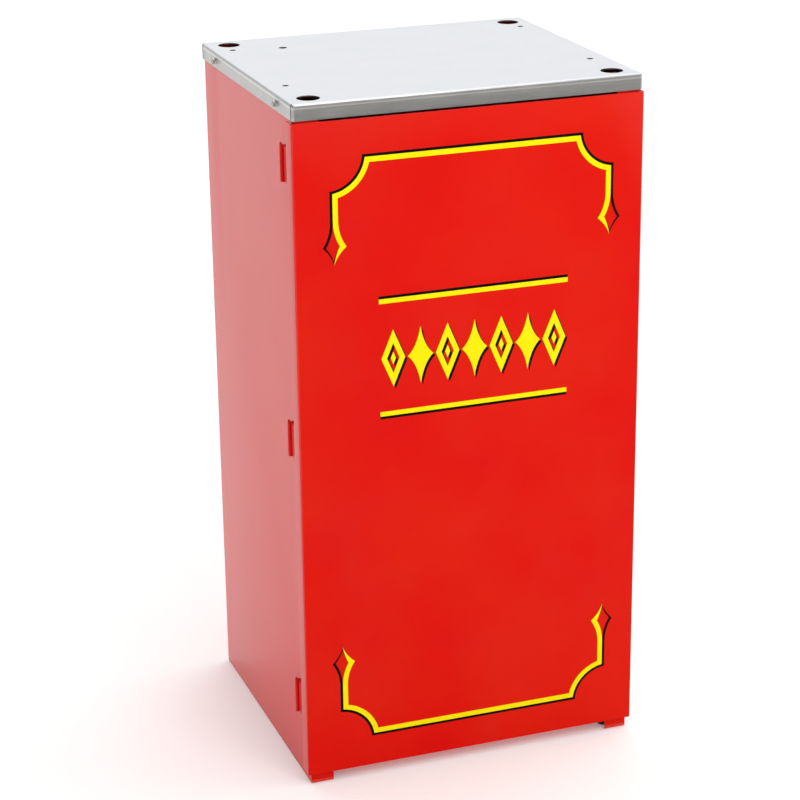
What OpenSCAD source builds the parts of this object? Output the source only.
// Pedestal cabinet for a popcorn popper: a sheet-steel box on four rubber feet,
// a stainless tray top with holes for the popper, and one full-front door
// on three loose-joint hinges at the left. Millimetres, +Z up, front towards -Y.
// The origin is on the floor, under the centre of the tray.

/* [Cabinet] */
// Height from the floor to the top of the tray
overall_h = 798; // [700:1:900]
// Width between the outer faces of the side panels
body_w = 397; // [380:0.5:420]
// Thickness of the painted steel sheet
sheet_t = 1.2; // [0.8:0.1:1.5]
// Inside radius of every bend in the painted sheet
bend_r = 0.8; // [0.5:0.1:1]
// Width of the front stile that each side panel folds into
stile_w = 27; // [22:1:35]
// Clearance under the bottom edges of the side and back panels
edge_lift = 1; // [0.5:0.5:2]
// Height of the floor pan's underside
floor_z = 16; // [14:1:24]
// Height of the floor pan's upturned walls
pan_wall = 15; // [10:1:25]

/* [Tray top] */
// Tray width, left to right
tray_w = 402; // [402:1:404]
// Tray depth, front to back
tray_d = 350; // [345:1:360]
// Thickness of the stainless sheet
tray_t = 1.5; // [1.2:0.1:1.6]
// Height of the tray's turned-down flange
flange_h = 18; // [16:1:22]
// Outside radius of the tray's upright corners
corner_r = 3; // [2.5:0.5:4]
// Diameter of the holes that the popper's feet drop into
foot_hole_d = 25.4; // [20:0.1:28]
// Left-to-right spacing of those holes
foot_hole_x = 350; // [340:1:352]
// Front-to-back spacing of those holes
foot_hole_y = 300; // [290:1:304]
// Diameter of the fixing screw holes
fix_hole_d = 7; // [5:0.1:8]
// Left-to-right spacing of the fixing screw holes
fix_hole_x = 358; // [350:1:360]
// Front-to-back spacing of the fixing screw holes
fix_hole_y = 203.2; // [190:0.1:210]
// Distance of the fixing pattern's centre behind the tray's centre
fix_shift_y = 18.4; // [10:0.1:25]
// Diameter of the single drain hole
drain_d = 9.5; // [8:0.1:12]
// Place of the drain hole, left of and behind the tray's centre
drain_xy = [-121.6, 111];

/* [Door] */
// Door width
door_w = 406; // [404:1:410]
// Gap under the door
door_z = 13; // [10:1:15]
// Gap between the door and the tray flange
door_gap = 2.3; // [1:0.1:3]
// Depth of the returns at the door's left and right edges
return_d = 19; // [15:1:22]
// Distance from the door's front face to the front of the stiles
stile_back = 3.4; // [3:0.1:4]

/* [Hinges] */
// Heights of the three hinges' centres
hinge_z = [99.5, 415, 728];
// Height of one hinge
hinge_h = 40; // [30:1:50]
// Outer radius of the knuckles
knuckle_r = 2.25; // [2.2:0.05:2.4]
// Radius of the hinge pin
pin_r = 1.2; // [1:0.1:1.3]
// Radial clearance between pin and knuckle
pin_gap = 0.05; // [0.03:0.01:0.08]
// Distance of the hinge axis inside the door's left edge
hinge_in = 0.2; // [0.1:0.05:0.3]
// Distance of the hinge axis behind the door's front face
hinge_back = 36.3; // [35:0.1:38]

/* [Feet and fasteners] */
// Radius of a rubber foot
foot_r = 9.5; // [8:0.5:12]
// Distance of the feet from the centre, left to right and front to back
foot_xy = [178, 155];
// Distances of the tray screws in front of and behind the centre
tray_screw_y = [-118, 118];
// Depth of the tray screws below the top of the tray
tray_screw_drop = 10; // [8:0.5:12]

/* [Door artwork] */
// Thickness of one layer of vinyl film
film_t = 0.12; // [0.08:0.01:0.2]
// Sideways shift of the artwork from the door's centre
art_x = 2.5; // [0:0.5:4]
// Height of the upper border's top line, and of the lower border's bottom line
border_z = [738.6, 50];
// Width of the yellow band
band_w = 5.9; // [5:0.1:7]
// Width of the black line that edges it
line_w = 3.1; // [2:0.1:4]
// Half the length of the two bars
bar_half = 111.4; // [100:0.1:120]
// Lower and upper edges of the yellow of the upper bar
upper_bar_z = [570.3, 575.8];
// Lower and upper edges of the yellow of the lower bar
lower_bar_z = [440.4, 445.8];
// Centre height of the ornament row
ornament_z = 507; // [500:1:515]
// Height of one ornament
ornament_h = 66; // [50:1:70]
// Number of ornaments in the row
ornament_count = 7; // [5:2:9]

/* [Hidden] */
$fn = 48;

RED = "#d8201b";
HINGE_RED = "#b3171a";
STEEL = "#d3d5d8";
ZINC = "#b4b4ae";
BLACK = "#1a1a1a";
YELLOW = "#fff200";
eps = 0.01;
hole_over = 1;

// Levels and planes of the cabinet
side_x = body_w / 2;
inner_x = side_x - sheet_t;
door_front = -tray_d / 2 - 1;
stile_front = door_front + stile_back;
stile_rear = stile_front + sheet_t;
lip_end = stile_front + 14;
lip_top = overall_h - 58;
lip_x = side_x - stile_w;
back_y = tray_d / 2 - tray_t - 0.2;
panel_top = overall_h - tray_t;
shelf_w = 8;
flange_z = overall_h - flange_h;
seam = 2.5;
fit_gap = 0.1;
floor_top = floor_z + sheet_t;
lip_foot = floor_top + 0.3;

// Door
door_x = door_w / 2;
door_top = flange_z - door_gap;
skin_rear = door_front + sheet_t;
return_rear = door_front + return_d;

// Hinges
hinge_x = -door_x + hinge_in;
hinge_y = door_front + hinge_back;
hinge_label = ["lower", "middle", "upper"];
leaf_front = stile_front + 0.6;
knuckle_split = 0.6;
knuckle_clear = 0.1;
bead_h = 5;
bead_at = [-8.3, 13];

// Magnetic catch, half-way up the right stile's lip
catch_z = 411;
catch_size = [12, 18, 46];
catch_front = stile_front + 4;
pole_t = 1.2;
magnet_t = 4;
magnet_h = 30;
magnet_tip = skin_rear + sheet_t + 0.2;
catch_screw_r = 1.6;

// Fasteners
screw_r = 1.95;
screw_washer_r = 4.2;
screw_washer_h = 0.9;
screw_hex_r = 3.67;
screw_head_h = 4.2;
screw_len = 11;
screw_hole_r = 2.1;
clip_nut = [10, 2.5];
foot_screw_r = 1.9;
foot_screw_hole_r = 2.1;
foot_well_r = 3.8;
foot_well_z = 9;
nut_h = 3.2;

// Border artwork, measured from the corner line of the border
notch = [127.5, 164.8, 3];
flare_end = 99;
tip_end = 118.8;
flare_start = 71;
flare_out = 8.65;
flare_in = 9;
tip_u = 161;

function hinge_names(piece) = [for (h = ["lower", "middle", "upper"]) str(h, "_hinge_", piece)];

function reversed(list) = [for (i = [len(list) - 1:-1:0]) list[i]];

function mirrored(list) = [for (p = reversed(list)) [-p.x, p.y]];

// Points on a circle, from one angle to another
function arc(centre, r, a0, a1, n = 12) =
    [for (i = [0:n]) centre + r * [cos(a0 + (a1 - a0) * i / n), sin(a0 + (a1 - a0) * i / n)]];

// Points on a quadratic curve that bends towards c
function bow(p, c, q, n = 10) =
    [for (i = [0:n]) let (s = i / n) (1 - s) * (1 - s) * p + 2 * s * (1 - s) * c + s * s * q];

function left_of(v) = [-v.y, v.x];

function heading(path, i) = (path[i + 1] - path[i]) / norm(path[i + 1] - path[i]);

// One rounded right-angle corner at p, from heading a to heading b
function corner(p, a, b, r, n = 5) =
    [for (i = [0:n]) p - a * r + b * r - b * r * cos(90 * i / n) + a * r * sin(90 * i / n)];

// Outline of a bent sheet: its path is one face, and the sheet lies to the left of it
function bent_sheet(path, t, r_in) =
    let (
        last = len(path) - 1,
        turns = [for (i = [1:last - 1])
            let (a = heading(path, i - 1), b = heading(path, i))
            [path[i], a, b, cross(a, b) > 0]],
        near = [for (c = turns) each corner(c[0], c[1], c[2], c[3] ? r_in + t : r_in)],
        far = [for (c = turns)
            each corner(c[0] + t * left_of(c[1]) + t * left_of(c[2]),
                        c[1], c[2], c[3] ? r_in : r_in + t)],
        a0 = heading(path, 0),
        a1 = heading(path, last - 1)
    )
    concat([path[0]], near, [path[last], path[last] + t * left_of(a1)],
           reversed(far), [path[0] + t * left_of(a0)]);

module sheet_xy(path, t, z0, z1) {
    translate([0, 0, z0])
        linear_extrude(z1 - z0)
            polygon(bent_sheet(path, t, bend_r));
}

// A sheet whose path is drawn in X and Z, run along Y
module sheet_xz(path, t, y0, y1) {
    translate([0, y1, 0])
        rotate([90, 0, 0])
            linear_extrude(y1 - y0)
                polygon(bent_sheet(path, t, bend_r));
}

// A sheet whose path is drawn in Y and Z, run along X
module sheet_yz(path, t, x0, x1) {
    translate([x0, 0, 0])
        rotate([90, 0, 90])
            linear_extrude(x1 - x0)
                polygon(bent_sheet(path, t, bend_r));
}

module at_corners(x, y) {
    for (sx = [-1, 1], sy = [-1, 1])
        translate([sx * x, sy * y, 0])
            children();
}

// ---- Tray top ----

// One upright corner of the tray: the front or back flange turned round it
module tray_corner() {
    quarter = [[corner_r, flange_z], [corner_r, overall_h], [0, overall_h]];
    translate([tray_w / 2 - corner_r, tray_d / 2 - corner_r, 0])
        rotate_extrude(angle = 90)
            polygon(bent_sheet(quarter, tray_t, bend_r));
}

module top_tray() {
    side = tray_w / 2;
    front = tray_d / 2;
    seam_y = front - corner_r - seam;
    color(STEEL)
    difference() {
        union() {
            sheet_xz([[side, flange_z], [side, overall_h], [-side, overall_h], [-side, flange_z]],
                     tray_t, -seam_y, seam_y);
            sheet_yz([[front, flange_z], [front, overall_h], [-front, overall_h], [-front, flange_z]],
                     tray_t, -side + corner_r, side - corner_r);
            for (sx = [0, 1], sy = [0, 1])
                mirror([sx, 0, 0])
                    mirror([0, sy, 0]) {
                        tray_corner();
                        translate([side - corner_r - eps, seam_y - eps, overall_h - tray_t])
                            cube([corner_r - tray_t, seam + 2 * eps, tray_t]);
                    }
        }
        at_corners(foot_hole_x / 2, foot_hole_y / 2)
            translate([0, 0, overall_h - tray_t - hole_over])
                cylinder(d = foot_hole_d, h = tray_t + 2 * hole_over);
        translate([0, fix_shift_y, overall_h - tray_t - hole_over])
            at_corners(fix_hole_x / 2, fix_hole_y / 2)
                cylinder(d = fix_hole_d, h = tray_t + 2 * hole_over);
        translate([drain_xy.x, drain_xy.y, overall_h - tray_t - hole_over])
            cylinder(d = drain_d, h = tray_t + 2 * hole_over);
        for (s = [-1, 1], y = tray_screw_y)
            screw_axis(s, y)
                cylinder(r = screw_hole_r, h = 2 * (tray_t + hole_over), center = true);
    }
}

// Puts its children at a tray screw's seat on the flange, +Z pointing inwards
module screw_axis(s, y) {
    translate([s * tray_w / 2, y, overall_h - tray_screw_drop])
        rotate([0, -90 * s, 0])
            children();
}

// Hexagon-headed sheet screws, each with a washer turned onto its head
module tray_screws() {
    color(ZINC)
    for (s = [-1, 1], y = tray_screw_y)
        screw_axis(s, y) {
            translate([0, 0, -screw_head_h])
                cylinder(r = screw_hex_r, h = screw_head_h, $fn = 6);
            translate([0, 0, -screw_washer_h])
                cylinder(r = screw_washer_r, h = screw_washer_h);
            cylinder(r = screw_r, h = screw_len);
        }
}

module tray_clip_nuts() {
    depth = tray_w / 2 - inner_x;
    color(ZINC)
    for (s = [-1, 1], y = tray_screw_y)
        screw_axis(s, y)
            translate([0, 0, depth])
                difference() {
                    translate([-clip_nut[0] / 2, -clip_nut[0] / 2, 0])
                        cube([clip_nut[0], clip_nut[0], clip_nut[1]]);
                    translate([0, 0, -hole_over])
                        cylinder(r = screw_r + pin_gap, h = clip_nut[1] + 2 * hole_over);
                }
}

// ---- Cabinet shell ----

// Right-hand side panel: web, front stile, a shelf for the tray, and the stile's lip, which
// stops short of the tray and of the floor pan
module side_panel() {
    difference() {
        union() {
            sheet_xy([[lip_x, lip_end], [lip_x, stile_front],
                      [side_x, stile_front], [side_x, back_y]],
                     sheet_t, lip_foot, lip_top);
            for (z = [[edge_lift, lip_foot + eps], [lip_top - eps, panel_top]])
                sheet_xy([[lip_x, stile_front], [side_x, stile_front], [side_x, back_y]],
                         sheet_t, z[0], z[1]);
            translate([side_x - sheet_t - shelf_w, stile_rear + bend_r, panel_top - sheet_t])
                cube([shelf_w + sheet_t / 2, back_y - sheet_t - stile_rear - 2 * bend_r, sheet_t]);
        }
        for (y = tray_screw_y)
            translate([side_x, y, overall_h - tray_screw_drop])
                rotate([0, 90, 0])
                    cylinder(r = screw_hole_r, h = 4 * hole_over, center = true);
    }
}

module right_side_panel() {
    color(RED)
    difference() {
        side_panel();
        for (z = [-1, 1])
            translate([lip_x, (stile_front + lip_end) / 2 + 2, catch_z + z * catch_size.z * 0.36])
                rotate([0, 90, 0])
                    cylinder(r = catch_screw_r + pin_gap, h = 4 * hole_over, center = true);
    }
}

module left_side_panel() {
    color(RED)
    mirror([1, 0, 0])
        side_panel();
}

module back_panel() {
    edge = inner_x - fit_gap;
    reach = 25;
    color(RED)
    sheet_xy([[edge, back_y - reach], [edge, back_y],
              [-edge, back_y], [-edge, back_y - reach]],
             sheet_t, edge_lift, panel_top - sheet_t - fit_gap);
}

module floor_pan() {
    edge = inner_x - fit_gap;
    tongue = lip_x - 1;
    rear = back_y - sheet_t - fit_gap;
    front = lip_end + 0.5;
    rear_trim = edge - sheet_t - fit_gap;
    color(RED)
    difference() {
        union() {
            sheet_xz([[-edge, floor_z + pan_wall], [-edge, floor_z],
                      [edge, floor_z], [edge, floor_z + pan_wall]],
                     sheet_t, front, back_y - 26);
            sheet_yz([[stile_front, floor_z + pan_wall], [stile_front, floor_z],
                      [rear, floor_z], [rear, floor_z + pan_wall]],
                     sheet_t, -tongue, tongue);
            translate([-rear_trim, back_y - 26 - eps, floor_z])
                cube([2 * rear_trim, 25 - sheet_t, sheet_t]);
            for (side = [-1, 1])
                translate([side * (tongue + rear_trim) / 2 - (rear_trim - tongue) / 2 - eps,
                           stile_rear + bend_r, floor_z])
                    cube([rear_trim - tongue + 2 * eps, front + eps - stile_rear - bend_r, sheet_t]);
        }
        at_corners(foot_xy.x, foot_xy.y)
            translate([0, 0, floor_z - hole_over])
                cylinder(r = foot_screw_hole_r, h = sheet_t + 2 * hole_over);
    }
}

// ---- Feet ----

module foot(sx, sy) {
    crown = 3;
    color(BLACK)
    translate([sx * foot_xy.x, sy * foot_xy.y, 0])
        rotate_extrude()
            polygon(concat(
                [[foot_screw_hole_r, floor_z], [foot_screw_hole_r, foot_well_z],
                 [foot_well_r, foot_well_z], [foot_well_r, 0]],
                arc([foot_r - crown, crown], crown, -90, 0, 6),
                [[foot_r - 1, floor_z]]));
}

module front_left_foot() foot(-1, -1);

module front_right_foot() foot(1, -1);

module rear_left_foot() foot(-1, 1);

module rear_right_foot() foot(1, 1);

module foot_screws() {
    head_h = 2.4;
    color(ZINC)
    at_corners(foot_xy.x, foot_xy.y) {
        translate([0, 0, foot_well_z - head_h])
            cylinder(r = foot_well_r - 0.4, h = head_h);
        translate([0, 0, foot_well_z])
            cylinder(r = foot_screw_r, h = floor_top + nut_h + 1 - foot_well_z);
    }
}

module foot_nuts() {
    color(ZINC)
    at_corners(foot_xy.x, foot_xy.y)
        translate([0, 0, floor_top])
            difference() {
                cylinder(r = 4, h = nut_h, $fn = 6);
                translate([0, 0, -hole_over])
                    cylinder(r = foot_screw_r + pin_gap, h = nut_h + 2 * hole_over);
            }
}

// ---- Magnetic catch ----

module catch_block(size, gap) {
    translate([lip_x - catch_size.x / 2, 0, catch_z])
        translate([-size.x / 2 - gap, size.y, -size.z / 2 - gap])
            cube([size.x + 2 * gap, catch_front + 10 - size.y, size.z + 2 * gap]);
}

module catch_housing() {
    pocket = [magnet_t + 2 * pole_t, magnet_tip - hole_over, magnet_h];
    color(BLACK)
    difference() {
        translate([lip_x - catch_size.x, catch_front, catch_z - catch_size.z / 2])
            cube(catch_size);
        catch_block(pocket, fit_gap);
        for (z = [-1, 1])
            translate([lip_x, (stile_front + lip_end) / 2 + 2, catch_z + z * catch_size.z * 0.36])
                rotate([0, -90, 0])
                    cylinder(r = catch_screw_r + pin_gap, h = 2 * 6, center = true);
    }
}

module catch_magnet() {
    color("#3a3a3c")
    catch_block([magnet_t, magnet_tip + 1, magnet_h], 0);
}

module catch_pole_plates() {
    color(ZINC)
    for (s = [-1, 1])
        translate([s * (magnet_t + pole_t) / 2, 0, 0])
            catch_block([pole_t, magnet_tip, magnet_h], 0);
}

module catch_screws() {
    color(ZINC)
    for (z = [-1, 1])
        translate([lip_x + sheet_t, (stile_front + lip_end) / 2 + 2,
                   catch_z + z * catch_size.z * 0.36])
            rotate([0, -90, 0]) {
                translate([0, 0, -1.6])
                    cylinder(r = 2.8, h = 1.6);
                cylinder(r = catch_screw_r, h = 6);
            }
}

module door_bumper(z) {
    color(BLACK)
    translate([side_x - stile_w / 2, stile_front, z])
        rotate([90, 0, 0])
            cylinder(r1 = 5, r2 = 4.2, h = stile_front - skin_rear - 0.2);
}

module upper_door_bumper() door_bumper(door_top - 40);

module lower_door_bumper() door_bumper(door_z + 40);

// ---- Door ----

module door_panel() {
    color(RED)
    sheet_xy([[-door_x, return_rear], [-door_x, door_front],
              [door_x, door_front], [door_x, return_rear]],
             sheet_t, door_z, door_top);
}

// Hat-section stiffener behind the middle of the door skin
module door_stiffener() {
    half = 28;
    crown = 14;
    depth = 10;
    color(RED)
    sheet_xy([[-half, skin_rear], [-crown, skin_rear], [-crown, skin_rear + depth],
              [crown, skin_rear + depth], [crown, skin_rear], [half, skin_rear]],
             sheet_t, door_z + 45, door_top - 45);
}

module catch_strike_plate() {
    color(ZINC)
    translate([lip_x - catch_size.x, skin_rear, catch_z - 20])
        cube([catch_size.x, sheet_t, 40]);
}

// ---- Hinges ----

module knuckle(z0, z1) {
    translate([hinge_x, hinge_y, z0])
        cylinder(r = knuckle_r, h = z1 - z0);
}

module pin_bore(z) {
    translate([hinge_x, hinge_y, z - hinge_h])
        cylinder(r = pin_r + pin_gap, h = 2 * hinge_h);
}

// The body's leaf: flat on the side panel, then out behind the barrel to the lower knuckle
module body_leaf(z) {
    low = z - hinge_h / 2;
    high = z + hinge_h / 2;
    leg_y = hinge_y + knuckle_r - sheet_t;
    strap_x = -side_x - sheet_t;
    color(HINGE_RED)
    difference() {
        union() {
            sheet_xy([[hinge_x + knuckle_r, leg_y], [strap_x, leg_y], [strap_x, leaf_front]],
                     sheet_t, low, high);
            translate([hinge_x, leg_y, low])
                cube([knuckle_r + eps, sheet_t, hinge_h / 2 - knuckle_split / 2]);
            knuckle(low, z - knuckle_split / 2);
        }
        pin_bore(z);
    }
}

// The door's leaf: inside the door's return, and rolled outwards into the upper knuckle;
// beside the lower knuckle it is cut back to clear it
module door_leaf(z) {
    low = z - hinge_h / 2;
    mid = z + knuckle_split / 2;
    strap_x = -door_x + sheet_t;
    color(HINGE_RED)
    difference() {
        union() {
            translate([strap_x, leaf_front, low])
                cube([sheet_t, hinge_y - knuckle_r - knuckle_clear - leaf_front, mid + eps - low]);
            translate([strap_x, leaf_front, mid])
                cube([sheet_t, hinge_y - leaf_front, z + hinge_h / 2 - mid]);
            knuckle(mid, z + hinge_h / 2);
        }
        pin_bore(z);
    }
}

// Loose pin with a turned-over top end
module hinge_pin(z) {
    rise = 1.2;
    color(HINGE_RED)
    translate([hinge_x, hinge_y, z - hinge_h / 2]) {
        cylinder(r = pin_r, h = hinge_h + rise);
        translate([0, 0, hinge_h + rise]) {
            sphere(r = pin_r);
            rotate([0, -45, 0])
                cylinder(r = pin_r, h = 2.2);
        }
    }
}

module lower_hinge_body_leaf() body_leaf(hinge_z[0]);

module middle_hinge_body_leaf() body_leaf(hinge_z[1]);

module upper_hinge_body_leaf() body_leaf(hinge_z[2]);

module lower_hinge_door_leaf() door_leaf(hinge_z[0]);

module middle_hinge_door_leaf() door_leaf(hinge_z[1]);

module upper_hinge_door_leaf() door_leaf(hinge_z[2]);

module lower_hinge_pin() hinge_pin(hinge_z[0]);

module middle_hinge_pin() hinge_pin(hinge_z[1]);

module upper_hinge_pin() hinge_pin(hinge_z[2]);

// Weld beads that hold the door leaves to the rear edge of the door's return
module hinge_welds() {
    r = 3.6;
    color(HINGE_RED)
    for (z = hinge_z, at = bead_at)
        translate([-door_x + sheet_t, return_rear, z + at - bead_h / 2])
            linear_extrude(bead_h)
                polygon(concat([[0, 0], [-sheet_t, 0]], bow([-sheet_t, 0.4], [-sheet_t, r], [0, r], 5)));
}

// ---- Door artwork ----

// Outer edge of the border's right half, inset by w, in [sideways, height above the door's foot]
function border_outer(top, w) =
    let (
        k = notch[2],
        c = [notch[1] + k, top + k],
        r = norm([c.x - notch[0], k]) + w,
        u = notch[1] - w,
        flare_r = (pow(flare_out, 2) + pow(flare_end - flare_start, 2)) / (2 * flare_out),
        a = asin((flare_end - flare_start) / flare_r)
    )
    concat([[0, top - w]],
           arc(c, r, 180 + asin((k + w) / r), 270 - asin((k + w) / r), 16),
           arc([u + flare_r + w, top - flare_start], flare_r + w, 180, 180 + a - w * 0.6, 8));

// Inner edge of the border's right half, from the flare up to the middle
function border_inner(top, w) =
    let (
        k = notch[2],
        c = [notch[1] + k, top + k],
        r = norm([c.x - notch[0], k]) + w,
        u = notch[1] - w,
        flare_r = (pow(flare_in, 2) + pow(flare_end - flare_start, 2)) / (2 * flare_in),
        a = asin((flare_end - flare_start) / flare_r)
    )
    concat(arc([u - flare_r, top - flare_start], flare_r, -a, 0, 8),
           arc(c, r, 270 - asin((k + w) / r), 180 + asin((k + w) / r), 16),
           [[0, top - w]]);

// The yellow band's outer edge, from the middle to where it meets the spear point
function band_outer(top) =
    let (
        k = notch[2],
        c = [notch[1] + k, top + k],
        r = norm([c.x - notch[0], k]) + line_w,
        u = notch[1] - line_w,
        flare_r = (pow(flare_in, 2) + pow(flare_end - flare_start, 2)) / (2 * flare_in) + band_w,
        a = asin((flare_end - flare_start - 1) / flare_r)
    )
    concat([[0, top - line_w]],
           arc(c, r, 180 + asin((k + line_w) / r), 270 - asin((k + line_w) / r), 16),
           arc([u - flare_r, top - flare_start], flare_r, 0, -a, 8));

function spear_point(top) = [tip_u, top - tip_end];

function inner_tip(top) = border_inner(top, line_w + band_w)[0];

function outer_tip(top) = border_outer(top, 0)[len(border_outer(top, 0)) - 1];

// Right half of the whole border, black and yellow together
function border_half(top) =
    let (tip = spear_point(top), o = outer_tip(top), i = inner_tip(top))
    concat(border_outer(top, 0),
           bow(o, [tip.x + 3, (o.y + tip.y) / 2 + 1], tip),
           bow(tip, [tip.x - 3.5, (i.y + tip.y) / 2 + 1], i),
           border_inner(top, line_w + band_w));

// Right half of the yellow band alone
function band_half(top) =
    let (tip = spear_point(top), edge = band_outer(top), e = edge[len(edge) - 1], i = inner_tip(top))
    concat(edge,
           bow(e, [tip.x - 1.5, (e.y + tip.y) / 2], tip),
           bow(tip, [tip.x - 3.5, (i.y + tip.y) / 2 + 1], i),
           border_inner(top, line_w + band_w));

// The red gap inside the spear point, between the band and the black line
function spear_gap(top) =
    let (
        line = border_outer(top, line_w),
        n = len(line),
        start = [for (i = [n - 8:n - 1]) line[i]],
        edge = band_outer(top),
        m = len(edge),
        side = [for (i = [m - 1:-1:m - 8]) edge[i]],
        l = start[7],
        e = side[0],
        foot = [tip_u + 0.4, top - tip_end + 4]
    )
    concat(start,
           bow(l, [foot.x + 2, (l.y + foot.y) / 2], foot),
           bow(foot, [foot.x - 2.2, (e.y + foot.y) / 2], e),
           side);

// Both halves of a symmetrical outline
module both_halves(half) {
    polygon(concat(half, mirrored(half)));
}

// Lays 2D artwork on the door's front, as film layer 0 or 1
module film(layer) {
    translate([art_x, door_front - layer * film_t, 0])
        rotate([90, 0, 0])
            linear_extrude(film_t)
                children();
}

// Stands the upper border's artwork on its head for the lower border
module turned_over() {
    translate([0, border_z[0] + border_z[1], 0])
        mirror([0, 1, 0])
            children();
}

module border_backing() {
    difference() {
        both_halves(border_half(border_z[0]));
        for (s = [0, 1])
            mirror([s, 0, 0])
                polygon(spear_gap(border_z[0]));
    }
}

module upper_border_black() {
    color(BLACK)
    film(0)
        border_backing();
}

module upper_border_yellow() {
    color(YELLOW)
    film(1)
        both_halves(band_half(border_z[0]));
}

module lower_border_black() {
    color(BLACK)
    film(0)
        turned_over()
            border_backing();
}

module lower_border_yellow() {
    color(YELLOW)
    film(1)
        turned_over()
            both_halves(band_half(border_z[0]));
}

module bar(z0, z1) {
    translate([-bar_half, z0])
        square([2 * bar_half, z1 - z0]);
}

module bars_black() {
    color(BLACK)
    film(0) {
        bar(upper_bar_z[0], upper_bar_z[1] + line_w);
        bar(lower_bar_z[0] - line_w, lower_bar_z[1]);
    }
}

module bars_yellow() {
    color(YELLOW)
    film(1) {
        bar(upper_bar_z[0], upper_bar_z[1]);
        bar(lower_bar_z[0], lower_bar_z[1]);
    }
}

// A four-point star with hollow sides, half-width w and half-height h
module star(w, h) {
    quarter = bow([w, 0], [w * 0.28, h * 0.28], [0, h], 8);
    half = concat(quarter, mirrored(quarter));
    polygon(concat(half, [for (p = half) -p]));
}

module lozenge(w, h) {
    polygon([[w, 0], [0, h], [-w, 0], [0, -h]]);
}

// One ornament: an open lozenge with a pip, or a four-point star
module ornament(kind) {
    w = bar_half / ornament_count - 2;
    h = ornament_h / 2;
    if (kind == 0) {
        difference() {
            lozenge(w, h);
            lozenge(w * 0.52, h * 0.52);
        }
        lozenge(w * 0.22, h * 0.22);
    } else {
        star(w + 1, h);
    }
}

module ornament_row() {
    pitch = 2 * bar_half / ornament_count;
    for (i = [0:ornament_count - 1])
        translate([(i - (ornament_count - 1) / 2) * pitch, ornament_z])
            ornament(i % 2);
}

module ornament_black() {
    shadow = [2.4, -2.8];
    color(BLACK)
    film(0) {
        ornament_row();
        translate(shadow)
            ornament_row();
    }
}

module ornament_yellow() {
    color(YELLOW)
    film(1)
        ornament_row();
}

top_tray();
tray_screws();
tray_clip_nuts();
left_side_panel();
right_side_panel();
back_panel();
floor_pan();
front_left_foot();
front_right_foot();
rear_left_foot();
rear_right_foot();
foot_screws();
foot_nuts();
catch_housing();
catch_magnet();
catch_pole_plates();
catch_screws();
upper_door_bumper();
lower_door_bumper();
door_panel();
door_stiffener();
catch_strike_plate();
hinge_welds();
upper_border_yellow();
upper_border_black();
lower_border_yellow();
lower_border_black();
bars_yellow();
bars_black();
ornament_yellow();
ornament_black();
lower_hinge_body_leaf();
middle_hinge_body_leaf();
upper_hinge_body_leaf();
lower_hinge_door_leaf();
middle_hinge_door_leaf();
upper_hinge_door_leaf();
lower_hinge_pin();
middle_hinge_pin();
upper_hinge_pin();
